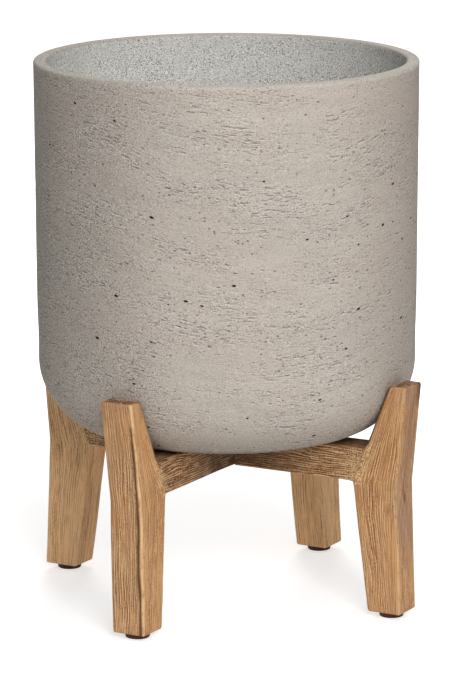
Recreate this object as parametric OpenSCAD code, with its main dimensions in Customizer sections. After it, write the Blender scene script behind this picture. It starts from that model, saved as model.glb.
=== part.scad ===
// Round planter on a four-legged wooden stand.
// Millimetres. The origin is on the floor, on the pot's axis. +Z is up and -Y is the front.

/* [Pot] */
// Outside diameter at the rim
pot_d = 380; // [340:1:420]
// Height from underside to rim
pot_h = 371; // [300:1:440]
// Thickness of the side wall
pot_wall = 12.5; // [9:0.5:16]
// Thickness of the floor
pot_floor = 14; // [10:0.5:20]
// Radius of the rounding between side and underside
pot_corner_r = 77; // [50:1:100]
// How much smaller the radius is above the rounding than at the rim
pot_taper = 1.2; // [0:0.1:6]
// Rounding of the two rim edges
rim_round = 2.5; // [1:0.1:4]
// Diameter of the drain hole
drain_d = 22; // [14:1:30]

/* [Drain plug] */
// How far the flange reaches past the hole all round
plug_flange_reach = 6; // [3:0.5:12]
// Thickness of the flange
plug_flange_t = 3; // [2:0.5:5]
// How far the stem stops short of the pot's underside
plug_recess = 1; // [0.5:0.5:4]
// Wall of the hollow stem
plug_wall = 3; // [2:0.5:4]
// Play between stem and hole, on the radius
plug_gap = 0.3; // [0.2:0.1:0.5]

/* [Cross bars] */
// Height of the bars' underside above the floor
bar_z = 135.5; // [110:0.5:170]
// Height of a bar's section
bar_h = 35.4; // [32:0.1:48]
// Width of a bar's section
bar_w = 36.5; // [30:0.5:42]
// Rounding of the bars' long edges
bar_edge_r = 2; // [1:0.5:4]
// Play in the half lap where the bars cross
lap_gap = 0.1; // [0.05:0.05:0.3]
// Play between the bars' top and the pot that stands loose on it
seat_gap = 0.1; // [0.05:0.05:0.3]

/* [Legs] */
// Width of a leg across the stand's radius
leg_w = 36.5; // [32:0.5:44]
// How far the legs rise above the bars' top
leg_rise = 64.4; // [40:0.1:76]
// Lean of the inner face beside the pot, in degrees from upright
leg_splay = 21.4; // [15:0.1:26]
// Thickness at the top, along the stand's radius
leg_top_t = 19.5; // [14:0.5:26]
// Thickness at the waist, level with the bars' underside
leg_waist_t = 49.5; // [44:0.5:60]
// Thickness at the foot
leg_foot_t = 37; // [32:0.5:46]
// How far the foot's inner face stands outside the waist's
leg_foot_set = 17.5; // [8:0.1:26]
// Rounding of the long edges
leg_edge_r = 3; // [2.5:0.5:5]
// Rounding of the edges at top and foot
leg_end_r = 2.5; // [1:0.5:2.5]
// Play between the legs' inner faces and the pot
leg_gap = 0.6; // [0.3:0.1:3]
// Sideways lean of the front left leg, in degrees
lean_front_left = -2.4; // [-3:0.1:3]
// Sideways lean of the front right leg
lean_front_right = 0.4; // [-3:0.1:3]
// Sideways lean of the back right leg
lean_back_right = 1.5; // [-3:0.1:3]
// Sideways lean of the back left leg
lean_back_left = -0.7; // [-3:0.1:3]

/* [Dowels] */
// Diameter of a dowel
dowel_d = 8; // [6:0.5:10]
// Length of a dowel, half in the bar and half in the leg
dowel_l = 50; // [36:1:56]
// Height between the two dowels of a joint
dowel_pitch = 16; // [12:0.5:18]
// Depth left for glue at each end of a dowel
dowel_end = 1; // [0.5:0.5:2]
// Glue line round the dowels and between bar and leg
glue_gap = 0.05; // [0.03:0.01:0.1]

/* [Lap screw] */
// Diameter of the shank
screw_d = 5; // [4:0.5:6]
// Diameter of the countersunk head
screw_head_d = 10; // [9:0.5:12]
// Length with the head
screw_l = 28; // [25:0.5:30]
// Depth of the cross recess in the head
screw_recess = 2; // [1:0.5:2.5]
// Length of each slot of the cross recess
screw_slot_l = 5; // [4:0.5:6]
// Width of each slot
screw_slot_w = 1; // [0.8:0.1:1.4]
// Play round the screw, on the radius
screw_gap = 0.05; // [0.03:0.01:0.1]

/* [Glides] */
// Diameter of a glide
glide_d = 24; // [20:0.5:28]
// Height of a glide
glide_h = 6; // [3:0.1:9]
// Bevel round the underside
glide_bevel = 1.6; // [1:0.1:2]
// Diameter of the nail's head
nail_head_d = 9; // [7:0.5:11]
// Thickness of the nail's head
nail_head_t = 1.2; // [0.8:0.1:1.4]
// Diameter of the nail's shank
nail_d = 2.4; // [2:0.1:3]
// Length of the nail's shank in the leg
nail_l = 18; // [12:0.5:24]
// Play round the nail, on the radius
nail_gap = 0.05; // [0.03:0.01:0.1]

/* [Hidden] */
PLACES = ["front_left", "front_right", "back_right", "back_left"];
LEVELS = ["lower", "upper"];

// Sides of a full turn, on round pieces and on rounded edges
round_fn = 96;
edge_fn = 32;
// Thin overlap that joins two solids, and how far a cut runs past a face
skin = 0.02;
past = 1;

// The legs stand on the diagonals, counted anticlockwise from the front left.
first_turn = 225;
turn_step = 90;
leans = [lean_front_left, lean_front_right, lean_back_right, lean_back_left];
function turn_of(k) = first_turn + turn_step * k;

// Heights of the stand
bar_top_z = bar_z + bar_h;
seat_z = bar_top_z + seat_gap;
lap_z = bar_z + bar_h / 2;
leg_top_z = bar_top_z + leg_rise;
function dowel_z(level) = lap_z + (level - 1 / 2) * dowel_pitch;

// Pot: the side ends where the rounding's circle begins.
pot_r = pot_d / 2;
pot_side_r = pot_r - pot_taper;
pot_flat_r = pot_side_r - pot_corner_r;
pot_inner_corner_r = pot_corner_r - pot_wall;
rim_z = seat_z + pot_h;
floor_z = seat_z + pot_floor;

// Inner face of the legs: a straight line that clears the pot's rounding by leg_gap.
touch_r = pot_flat_r + (pot_corner_r + leg_gap) * cos(leg_splay);
touch_z = seat_z + pot_corner_r - (pot_corner_r + leg_gap) * sin(leg_splay);
function face_r(z) = touch_r + (z - touch_z) * tan(leg_splay);

waist_in = face_r(bar_z);
top_in = face_r(leg_top_z);
foot_in = waist_in + leg_foot_set;
waist_out = waist_in + leg_waist_t;
top_out = top_in + leg_top_t;
foot_out = foot_in + leg_foot_t;
foot_mid = foot_in + leg_foot_t / 2;

// Straight blend from a at z = from to b at z = to
function blend(a, b, z, from, to) = a + (b - a) * (z - from) / (to - from);
function leg_in(z) = z < bar_z
    ? blend(foot_in, waist_in, z, glide_h, bar_z)
    : blend(waist_in, top_in, z, bar_z, leg_top_z);
function leg_out(z) = z < bar_z
    ? blend(foot_out, waist_out, z, glide_h, bar_z)
    : blend(waist_out, top_out, z, bar_z, leg_top_z);
function lean_y(k, z) = (z - lap_z) * tan(leans[k]);

// Places what belongs to one leg: +X points outwards along the leg's diagonal.
module at_leg(k) {
    rotate([0, 0, turn_of(k)])
        children();
}

// Half section of a round vessel: a cone over a quarter-round corner, from z0 up to z1
module vessel_section(side_r, top_r, corner_r, z0, z1) {
    polygon([[0, z0 + corner_r], [side_r, z0 + corner_r], [top_r, z1], [0, z1]]);
    translate([0, z0])
        square([side_r - corner_r, corner_r + skin]);
    intersection() {
        translate([side_r - corner_r, z0 + corner_r])
            circle(r = corner_r, $fn = round_fn);
        translate([0, z0])
            square([side_r + past, corner_r + skin]);
    }
}

// Half section of the rim: flat on top, with both edges rounded
module rim_section() {
    in_r = pot_r - pot_wall;
    translate([in_r, rim_z - 2 * rim_round])
        square([pot_wall, rim_round]);
    translate([in_r + rim_round, rim_z - 2 * rim_round])
        square([pot_wall - 2 * rim_round, 2 * rim_round]);
    for (x = [in_r + rim_round, pot_r - rim_round])
        translate([x, rim_z - rim_round])
            circle(r = rim_round, $fn = round_fn);
}

module pot() {
    side_top = rim_z - 2 * rim_round + skin;
    color([0.75, 0.71, 0.67])
        difference() {
            rotate_extrude($fn = round_fn) {
                difference() {
                    vessel_section(pot_side_r, pot_r, pot_corner_r, seat_z, side_top);
                    vessel_section(pot_side_r - pot_wall, pot_r - pot_wall,
                        pot_inner_corner_r, floor_z, side_top + skin);
                }
                rim_section();
            }
            translate([0, 0, seat_z - past])
                cylinder(d = drain_d, h = pot_floor + 2 * past, $fn = round_fn);
        }
}

// Rubber bung: the flange lies on the pot's floor and the hollow stem fills the drain hole.
module drain_plug() {
    stem_r = drain_d / 2 - plug_gap;
    flange_r = drain_d / 2 + plug_flange_reach;
    stem_z = seat_z + plug_recess;
    edge = plug_flange_t / 2;
    color([0.12, 0.12, 0.12])
        rotate_extrude($fn = round_fn) {
            translate([0, floor_z])
                square([flange_r - edge, plug_flange_t]);
            translate([flange_r - edge, floor_z + edge])
                circle(r = edge, $fn = round_fn);
            translate([stem_r - plug_wall, stem_z])
                square([plug_wall, floor_z - stem_z + skin]);
        }
}

// Everything outside the plane of one leg's inner face, which a bar's end is cut by
module beyond_face() {
    size = pot_d;
    translate([waist_in, 0, bar_z])
        rotate([0, leg_splay, 0])
            translate([-glue_gap, -size / 2, -size / 2])
                cube(size);
}

// Hole for one dowel along +X, as deep in the bar as in the leg
module dowel_hole(level) {
    z = dowel_z(level);
    reach = dowel_l / 2 + dowel_end;
    translate([face_r(z) - reach, 0, z])
        rotate([0, 90, 0])
            cylinder(d = dowel_d + 2 * glue_gap, h = 2 * reach, $fn = round_fn);
}

// A straight bar along X with its long edges rounded and both ends cut to the legs
module bar_blank() {
    reach = face_r(bar_top_z) + past;
    difference() {
        hull()
            for (y = [-1, 1], z = [bar_z + bar_edge_r, bar_top_z - bar_edge_r])
                translate([-reach, y * (bar_w / 2 - bar_edge_r), z])
                    rotate([0, 90, 0])
                        cylinder(r = bar_edge_r, h = 2 * reach, $fn = edge_fn);
        for (end = [0, 180])
            rotate([0, 0, end]) {
                beyond_face();
                dowel_hole(0);
                dowel_hole(1);
            }
    }
}

// Square notch that takes the other bar, from z upwards by half a bar
module lap_notch(z) {
    side = bar_w + 2 * lap_gap;
    translate([-side / 2, -side / 2 - past, z])
        cube([side, side + 2 * past, bar_h]);
}

module screw_shape(play) {
    head_cone = (screw_head_d - screw_d) / 2;
    translate([0, 0, bar_z + skin]) {
        cylinder(r1 = screw_head_d / 2 + play, r2 = screw_d / 2 + play, h = head_cone, $fn = round_fn);
        cylinder(r = screw_d / 2 + play, h = screw_l + play, $fn = round_fn);
    }
}

// The bar that keeps its lower half at the crossing
module bar_lower() {
    color([0.74, 0.58, 0.40])
        at_leg(0)
            difference() {
                bar_blank();
                lap_notch(lap_z);
                screw_shape(screw_gap);
                translate([0, 0, bar_z - past])
                    cylinder(r = screw_head_d / 2 + screw_gap, h = past + 2 * skin, $fn = round_fn);
            }
}

// The bar that keeps its upper half at the crossing
module bar_upper() {
    color([0.74, 0.58, 0.40])
        at_leg(1)
            difference() {
                bar_blank();
                lap_notch(lap_z + lap_gap - bar_h);
                screw_shape(screw_gap);
            }
}

// Countersunk wood screw, driven up through the half lap
module lap_screw() {
    color([0.62, 0.62, 0.60])
        difference() {
            screw_shape(0);
            for (turn = [0, 90])
                rotate([0, 0, turn])
                    translate([-screw_slot_l / 2, -screw_slot_w / 2, bar_z - past])
                        cube([screw_slot_l, screw_slot_w, screw_recess + past]);
        }
}

// One level slice of a leg at height z, drawn in by inset on every side
module leg_slice(k, z, inset) {
    r = leg_edge_r - inset;
    for (x = [leg_in(z) + leg_edge_r, leg_out(z) - leg_edge_r], side = [-1, 1])
        translate([x, side * (leg_w / 2 - leg_edge_r) + lean_y(k, z), z])
            cylinder(r = r, h = skin, center = true, $fn = edge_fn);
}

// The part of a leg between its waist and one end, whose edges are rounded
module leg_half(k, end_z, toward) {
    hull() {
        leg_slice(k, bar_z, 0);
        for (a = [0:30:90])
            leg_slice(k, end_z + toward * (leg_end_r * (1 - sin(a)) + skin / 2),
                leg_end_r * (1 - cos(a)));
    }
}

module leg(k) {
    color([0.72, 0.56, 0.38])
        at_leg(k)
            difference() {
                union() {
                    leg_half(k, leg_top_z, -1);
                    leg_half(k, glide_h, 1);
                }
                dowel_hole(0);
                dowel_hole(1);
                translate([foot_mid, lean_y(k, glide_h), 0])
                    cylinder(r = nail_d / 2 + nail_gap, h = glide_h + nail_l + past, $fn = round_fn);
            }
}

module dowel(k, level) {
    z = dowel_z(level);
    color([0.80, 0.66, 0.48])
        at_leg(k)
            translate([face_r(z) - dowel_l / 2, 0, z])
                rotate([0, 90, 0])
                    cylinder(d = dowel_d, h = dowel_l, $fn = round_fn);
}

module at_foot(k) {
    at_leg(k)
        translate([foot_mid, lean_y(k, glide_h), 0])
            children();
}

// Hard plastic glide: bevelled below, with a pocket above for the nail's head
module glide(k) {
    color([0.20, 0.11, 0.07])
        at_foot(k)
            difference() {
                union() {
                    cylinder(r1 = glide_d / 2 - glide_bevel, r2 = glide_d / 2, h = glide_bevel,
                        $fn = round_fn);
                    translate([0, 0, glide_bevel])
                        cylinder(d = glide_d, h = glide_h - glide_bevel, $fn = round_fn);
                }
                translate([0, 0, glide_h - nail_head_t - nail_gap])
                    cylinder(r = nail_head_d / 2 + nail_gap, h = nail_head_t + past, $fn = round_fn);
            }
}

// Nail with a flat head, which is held between the glide and the leg
module glide_nail(k) {
    color([0.62, 0.62, 0.60])
        at_foot(k) {
            translate([0, 0, glide_h - nail_head_t])
                cylinder(d = nail_head_d, h = nail_head_t, $fn = round_fn);
            translate([0, 0, glide_h - nail_head_t / 2])
                cylinder(d = nail_d, h = nail_l + nail_head_t / 2, $fn = round_fn);
        }
}

pot();
drain_plug();
bar_lower();
bar_upper();
lap_screw();
for (k = [0:3]) {
    leg(k);
    dowel(k, 0);
    dowel(k, 1);
    glide(k);
    glide_nail(k);
}
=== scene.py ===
# Cement planter on a brushed wooden stand: finishes, floor, light and camera.
import math
import bpy
import numpy as np
from mathutils import Matrix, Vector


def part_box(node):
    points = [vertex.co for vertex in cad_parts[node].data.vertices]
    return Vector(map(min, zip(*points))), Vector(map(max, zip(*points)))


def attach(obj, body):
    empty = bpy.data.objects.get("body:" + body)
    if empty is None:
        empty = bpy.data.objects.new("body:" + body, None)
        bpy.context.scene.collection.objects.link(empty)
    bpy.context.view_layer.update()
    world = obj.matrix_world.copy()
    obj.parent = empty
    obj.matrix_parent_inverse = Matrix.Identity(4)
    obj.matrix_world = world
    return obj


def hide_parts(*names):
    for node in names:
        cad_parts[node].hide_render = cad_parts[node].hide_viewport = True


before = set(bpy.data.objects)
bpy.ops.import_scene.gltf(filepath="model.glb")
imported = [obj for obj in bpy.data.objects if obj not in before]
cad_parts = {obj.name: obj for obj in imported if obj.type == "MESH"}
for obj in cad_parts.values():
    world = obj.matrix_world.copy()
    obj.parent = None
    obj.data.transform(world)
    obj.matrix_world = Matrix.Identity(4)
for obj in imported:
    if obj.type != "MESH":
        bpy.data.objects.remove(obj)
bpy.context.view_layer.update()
print("frame loaded:", len(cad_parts), "nodes")

places = ("front_left", "front_right", "back_right", "back_left")  # anticlockwise, a quarter turn apart
mm = 0.001

# sizes that several pieces share, in metres
stand = dict(
    barBottom=135.5 * mm, barTop=170.9 * mm, seat=171 * mm, legTop=235.3 * mm, foot=6 * mm,
    woodWidth=36.5 * mm,
    # the legs' inner face: its radius at the bars' underside, and degrees from upright
    faceAtBar=151.06 * mm, splay=21.4,
    firstTurn=225.0, lean=(-2.4, 0.4, 1.5, -0.7),  # degrees, in the order of places
)


class Wire:
    # a shader socket: Python arithmetic on it adds Math nodes
    def __init__(self, tree, socket):
        self.tree, self.socket = tree, socket

    def maths(self, operation, *values):
        return addNode(self.tree, "Math", dict(operation=operation), dict(enumerate(values)))

    def __add__(self, other):
        return self.maths("ADD", self, other)

    def __radd__(self, other):
        return self.maths("ADD", other, self)

    def __sub__(self, other):
        return self.maths("SUBTRACT", self, other)

    def __rsub__(self, other):
        return self.maths("SUBTRACT", other, self)

    def __mul__(self, other):
        return self.maths("MULTIPLY", self, other)

    def __rmul__(self, other):
        return self.maths("MULTIPLY", other, self)

    def wave(self):
        return self.maths("SINE", self)

    def stretched(self, factors):
        # a vector with each coordinate times its own factor
        return addNode(self.tree, "VectorMath", dict(operation="MULTIPLY"), {0: self, 1: factors})

    def shifted(self, way):
        return addNode(self.tree, "VectorMath", dict(operation="ADD"), {0: self, 1: way})

    def ramp(self, low, high, fromValue=0.0, toValue=1.0, smooth=True):
        # goes from fromValue to toValue while the wire goes from low to high, and stays level outside them
        kind = "SMOOTHSTEP" if smooth else "LINEAR"
        spans = {"Value": self, "From Min": low, "From Max": high, "To Min": fromValue, "To Max": toValue}
        return addNode(self.tree, "MapRange", dict(interpolation_type=kind), spans)


def addNode(tree, kind, settings=None, values=None, out=0):
    # one node, its type given without ShaderNode: its settings first, then the values or links of its
    # sockets; out picks the output
    made = tree.nodes.new("ShaderNode" + kind)
    for key, value in (settings or {}).items():
        setattr(made, key, value)
    for key, value in (values or {}).items():
        socket = made.inputs[key]
        if isinstance(value, Wire):
            tree.links.new(value.socket, socket)
        else:
            socket.default_value = value
    return Wire(tree, made.outputs[out]) if made.outputs else None


def shade(red, green, blue):
    # a colour as a picture editor gives it, 0 to 255, turned into the linear light that shaders use
    parts = np.array([red, green, blue]) / 255.0
    linear = np.where(parts <= 0.04045, parts / 12.92, ((parts + 0.055) / 1.055) ** 2.4)
    return (*linear.tolist(), 1.0)


def blend(factor, under, over):
    # under at 0 and over at 1. Mix's colour sockets are numbers 6 and 7, and its colour output is number 2
    return addNode(factor.tree, "Mix", dict(data_type="RGBA"), {0: factor, 6: under, 7: over}, 2)


def speckle(colour, pattern, share, tones, paleShare=1.0, start=0.01, full=0.22):
    # towards the first tone where the pattern runs over 0.5 and towards the second where it runs under,
    # from nothing at a distance of start to the whole share at a distance of full
    dark, pale = tones
    colour = blend(pattern.ramp(0.5 + start, 0.5 + full) * share, colour, dark)
    return blend(pattern.ramp(0.5 - start, 0.5 - full) * share * paleShare, colour, pale)


def summed(shares, *wires):
    # the first share, plus each further share times its own wire
    total = shares[0]
    for share, wire in zip(shares[1:], wires):
        total = total + wire * share
    return total


def splitUp(vector):
    # a vector's x, y and z as three wires
    parts = addNode(vector.tree, "SeparateXYZ", {}, {0: vector}).socket.node.outputs
    return [Wire(vector.tree, part) for part in parts]


def joinUp(x, y, z):
    # three wires as one vector
    return addNode(x.tree, "CombineXYZ", {}, {0: x, 1: y, 2: z})


def ownPlace(tree):
    # the piece's own coordinates, in metres
    return addNode(tree, "TexCoord", out="Object")


def readField(tree, name, out="Fac"):
    # a value that gridObject stored at the mesh's points
    return addNode(tree, "Attribute", dict(attribute_name=name), out=out)


def noise(place, fineness, detail=2.0, rough=0.5, warp=0.0):
    # clouds of values round 0.5; fineness is how many go to a metre along x, y and z
    values = {"Vector": place.stretched(fineness), "Scale": 1.0, "Detail": detail,
              "Roughness": rough, "Distortion": warp}
    return addNode(place.tree, "TexNoise", dict(noise_dimensions="3D"), values)


def cells(place, out):
    # Distance to the nearest of some scattered points, one to each unit cube, or that point's random Color
    return addNode(place.tree, "TexVoronoi", dict(feature="F1"), {"Vector": place, "Scale": 1.0}, out)


def holes(place, fineness, rarity, size, soft):
    # a round hole in those cells whose own random number is over rarity: the number also sets how large
    # it is, up to size, and its edge is as wide as soft
    place = place.stretched(fineness)
    dice = addNode(place.tree, "SeparateColor", {}, {0: cells(place, "Color")})
    radius = dice.ramp(rarity, 1.0, 0.0, size, smooth=False)
    return (radius - cells(place, "Distance")).ramp(0.0, soft)


def newMaterial(name):
    # an empty material and its node tree
    made = bpy.data.materials.new(name)
    made.use_nodes = True
    tree = made.node_tree
    tree.nodes.clear()
    return made, tree


def finishMaterial(tree, colour, roughness, height, relief, **fixed):
    # closes a tree with one surface shader; height is in metres and goes in through a Bump node
    bumped = {"Height": height, "Strength": relief, "Distance": 1.0}
    values = {"Base Color": colour, "Roughness": roughness}
    values.update({key.replace("_", " "): value for key, value in fixed.items()})
    values["Normal"] = addNode(tree, "Bump", {}, bumped)
    surface = addNode(tree, "BsdfPrincipled", {}, values)
    addNode(tree, "OutputMaterial", {}, {"Surface": surface})


def bumps(u, v, seed, wrap=None):
    # random heights from -1 to 1 at whole numbers of u and v, joined by 3t^2 - 2t^3;
    # with wrap, u comes round again
    dice = np.random.default_rng(seed)
    iu, iv = np.floor(u).astype(int), np.floor(v).astype(int)
    fu, fv = u - iu, v - iv
    fu, fv = fu * fu * (3 - 2 * fu), fv * fv * (3 - 2 * fv)
    iv = iv - iv.min()
    around = wrap or int(iu.max() - iu.min() + 2)
    heights = dice.random((around, iv.max() + 2)) * 2 - 1
    left, right = iu % around, (iu + 1) % around
    low = heights[left, iv] * (1 - fu) + heights[right, iv] * fu
    high = heights[left, iv + 1] * (1 - fu) + heights[right, iv + 1] * fu
    return low * (1 - fv) + high * fv


def ripples(around, along, pattern, seed, aside=0.0, ahead=0.0):
    # bumps on a closed surface: pattern is how many go round it and the length of one along it, and aside
    # and ahead push them, in bumps. around goes from 0 to 1, and along is in metres.
    count, length = pattern
    return bumps(around * count + aside, along / length + ahead, seed, count)


def step(value, low, high):
    # 0 up to low, 1 from high on, and 3t^2 - 2t^3 between
    t = np.clip((value - low) / (high - low), 0, 1)
    return t * t * (3 - 2 * t)


def between(value, low, high, fadeLow, fadeHigh):
    # 1 from low to high, and fading to 0 over the two lengths outside them
    return step(value, low - fadeLow, low) * step(-value, -high - fadeHigh, -high)


def near(distance, width):
    # a bell: e to the power of minus the square of distance over width
    return np.exp(-(distance / width) ** 2)


def line(start, end, count, ease=1.0):
    # count points from start towards end, without end; ease over 1 crowds them near start
    t = (np.arange(count) / count)[:, None] ** ease
    return np.array(start) * (1 - t) + np.array(end) * t


def arc(centre, radius, fromAngle, toAngle, count):
    # count points on a circle between two angles in degrees, without the last
    a = np.radians(fromAngle + (toAngle - fromAngle) * np.arange(count) / count)
    return np.stack([centre[0] + radius * np.cos(a), centre[1] + radius * np.sin(a)], 1)


def turned(points, degrees):
    # turned anticlockwise about the upright axis
    a = math.radians(degrees)
    x, y, z = points[..., 0], points[..., 1], points[..., 2]
    return np.stack([x * math.cos(a) - y * math.sin(a), x * math.sin(a) + y * math.cos(a), z], -1)


def faceRadius(height):
    # how far out the legs' inner face stands at a height
    return stand["faceAtBar"] + (height - stand["barBottom"]) * math.tan(math.radians(stand["splay"]))


def leanShift(k, height):
    # how far aside leg k stands at a height: it leans about the middle of the bars
    middle = (stand["barBottom"] + stand["barTop"]) / 2
    return (height - middle) * math.tan(math.radians(stand["lean"][k]))


def gridObject(name, points, node, material, fields, body="stand", closedRows=False):
    # points is rows x columns x 3, and columns always come round. closedRows joins the last row to the first;
    # otherwise each end row is gathered into one vertex at its middle. fields are values per point.
    rows, columns = points.shape[:2]
    place = points.reshape(-1, 3)
    index = np.arange(rows * columns).reshape(rows, columns)
    if closedRows:
        lower, upper = index, np.roll(index, -1, 0)
    else:
        lower, upper = index[:-1], index[1:]
    quads = np.stack([lower, np.roll(lower, -1, 1), np.roll(upper, -1, 1), upper], -1).reshape(-1, 4)
    loops, starts = quads.ravel(), np.arange(len(quads)) * 4
    fields = {key: value.reshape(len(place), -1) for key, value in fields.items()}
    if not closedRows:
        poles = np.array([points[0].mean(0), points[-1].mean(0)])
        first, last = index[0], index[-1]
        low = np.stack([np.full(columns, len(place)), np.roll(first, -1), first], -1)
        high = np.stack([np.full(columns, len(place) + 1), last, np.roll(last, -1)], -1)
        tris = np.concatenate([low, high])
        starts = np.concatenate([starts, len(loops) + np.arange(len(tris)) * 3])
        loops = np.concatenate([loops, tris.ravel()])
        place = np.concatenate([place, poles])
        fields = {key: np.concatenate([value, value[[0]], value[[-1]]]) for key, value in fields.items()}
    a, b, c, d = (place - place.mean(0))[quads.T]
    if np.sum((a + b + c + d) * np.cross(c - a, d - b)) < 0:
        # the faces point inwards, so each is read the other way round
        totals = np.diff(np.append(starts, len(loops)))
        ends = np.repeat(starts + totals - 1, totals)
        loops = loops[ends - (np.arange(len(loops)) - np.repeat(starts, totals))]
    mesh = bpy.data.meshes.new(name)
    mesh.vertices.add(len(place))
    mesh.vertices.foreach_set("co", place.astype(np.float32).ravel())
    mesh.loops.add(len(loops))
    mesh.loops.foreach_set("vertex_index", loops.astype(np.int32))
    mesh.polygons.add(len(starts))
    mesh.polygons.foreach_set("loop_start", starts.astype(np.int32))
    mesh.update(calc_edges=True)
    mesh.validate()
    mesh.shade_smooth()
    for key, value in fields.items():
        kind, slotName = ("FLOAT_VECTOR", "vector") if value.shape[1] == 3 else ("FLOAT", "value")
        layer = mesh.attributes.new(key, kind, "POINT")
        layer.data.foreach_set(slotName, value.astype(np.float32).ravel())
    mesh.materials.append(material)
    made = bpy.data.objects.new(name, mesh)
    bpy.context.scene.collection.objects.link(made)
    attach(made, body)
    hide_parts(node)


pot = dict(
    rimRadius=190 * mm, rim=542 * mm, wall=12.5 * mm, floorThick=14 * mm, corner=77 * mm,
    taper=1.2 * mm, rimRound=2.5 * mm, drain=11 * mm, drainRound=1.5 * mm,
    # the profile's stretches in the order of potProfile: rows, and zone (0 outside, 1 rim, 2 inside)
    rows=(3, 6, 36, 104, 4, 3, 4, 40, 7, 4, 3), zones=(0, 0, 0, 0, 1, 1, 1, 2, 2, 2, 2),
    columns=464, firstColumn=90.0, insideEase=1.5,
    # relief patterns: how many go round the pot, and the length of one along the profile
    broad=(9, 110 * mm), hand=(34, 22 * mm), sway=(12, 50 * mm), scores=(60, 9 * mm),
    patches=(14, 40 * mm), lumps=(110, 10 * mm), grains=(190, 5.5 * mm),
    dent=0.55 * mm, broadShare=0.4, handShare=0.25, scoreShare=0.55, scoreSway=2.0,
    scoreFrom=(0.45, 0.95), patchFrom=(-0.1, 0.5), dentFade=12 * mm,
    ease=0.9 * mm, easeAt=262 * mm, easeOver=26 * mm,  # a slight waist above the rounded base
    lump=0.9 * mm, lumpShare=0.55, grainShare=0.45, lumpFade=(2 * mm, 14 * mm),
)


def potProfile():
    # the pot's section as one closed line: underside, rounded corner, side, rim, inside, drain hole
    seat, rim, corner, wall = stand["seat"], pot["rim"], pot["corner"], pot["wall"]
    outer, side = pot["rimRadius"], pot["rimRadius"] - pot["taper"]
    edge, hole, lip = pot["rimRound"], pot["drain"], pot["drainRound"]
    flat, inner, floor = side - corner, corner - wall, seat + pot["floorThick"]
    rows = pot["rows"]
    parts = [
        arc((hole + lip, seat + lip), lip, 180, 270, rows[0]),
        line((hole + lip, seat), (flat, seat), rows[1]),
        arc((flat, seat + corner), corner, 270, 360, rows[2]),
        line((side, seat + corner), (outer, rim - edge), rows[3]),
        arc((outer - edge, rim - edge), edge, 0, 90, rows[4]),
        line((outer - edge, rim), (outer - wall + edge, rim), rows[5]),
        arc((outer - wall + edge, rim - edge), edge, 90, 180, rows[6]),
        line((outer - wall, rim - edge), (side - wall, floor + inner), rows[7], pot["insideEase"]),
        arc((side - wall - inner, floor + inner), inner, 360, 270, rows[8]),
        line((side - wall - inner, floor), (hole + lip, floor), rows[9]),
        arc((hole + lip, floor - lip), lip, 90, 180, rows[10]),
    ]
    return np.concatenate(parts), np.repeat(pot["zones"], rows)


def buildPot(material):
    # each point of the profile is turned about the pot's axis, then drawn in along the surface's normal:
    # outside by broad and hand-wide dents, by scores in patches and by a waist, inside by lumps and grains
    profile, zone = potProfile()
    along = np.roll(profile, -1, 0) - np.roll(profile, 1, 0)
    along /= np.linalg.norm(along, axis=1)[:, None]
    normal = np.stack([along[:, 1], -along[:, 0]], 1)
    length = np.cumsum(np.linalg.norm(np.diff(profile, axis=0, prepend=profile[:1]), axis=1))
    around, s = np.meshgrid(np.arange(pot["columns"]) / pot["columns"], length)
    level = profile[:, 1:]
    outside = (zone == 0)[:, None] * step(level - stand["seat"], 0.0, pot["dentFade"])
    inside = (zone == 2)[:, None] * step(pot["rim"] - level, *pot["lumpFade"])
    broad = ripples(around, s, pot["broad"], 1) * 0.5 + 0.5
    hand = ripples(around, s, pot["hand"], 2) * 0.5 + 0.5
    sway = pot["scoreSway"] * ripples(around, s, pot["sway"], 3)
    scores = step(ripples(around, s, pot["scores"], 4, ahead=sway), *pot["scoreFrom"])
    patches = step(ripples(around, s, pot["patches"], 5), *pot["patchFrom"])
    dents = pot["broadShare"] * broad + pot["handShare"] * hand + pot["scoreShare"] * scores * patches
    lumps = pot["lumpShare"] * ripples(around, s, pot["lumps"], 6)
    lumps += pot["grainShare"] * ripples(around, s, pot["grains"], 7)
    depth = outside * pot["dent"] * dents
    depth += outside * pot["ease"] * near(level - pot["easeAt"], pot["easeOver"])
    depth += inside * pot["lump"] * (0.5 + 0.5 * lumps)
    radius = profile[:, :1] - normal[:, :1] * depth
    height = level - normal[:, 1:] * depth
    angle = around * 2 * math.pi + math.radians(pot["firstColumn"])
    points = np.stack([radius * np.cos(angle), radius * np.sin(angle), height], -1)
    fields = dict(zone=np.broadcast_to((zone / 2.0)[:, None], around.shape))
    gridObject("pot_shell", points, "pot", material, fields, body="pot", closedRows=True)


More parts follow.
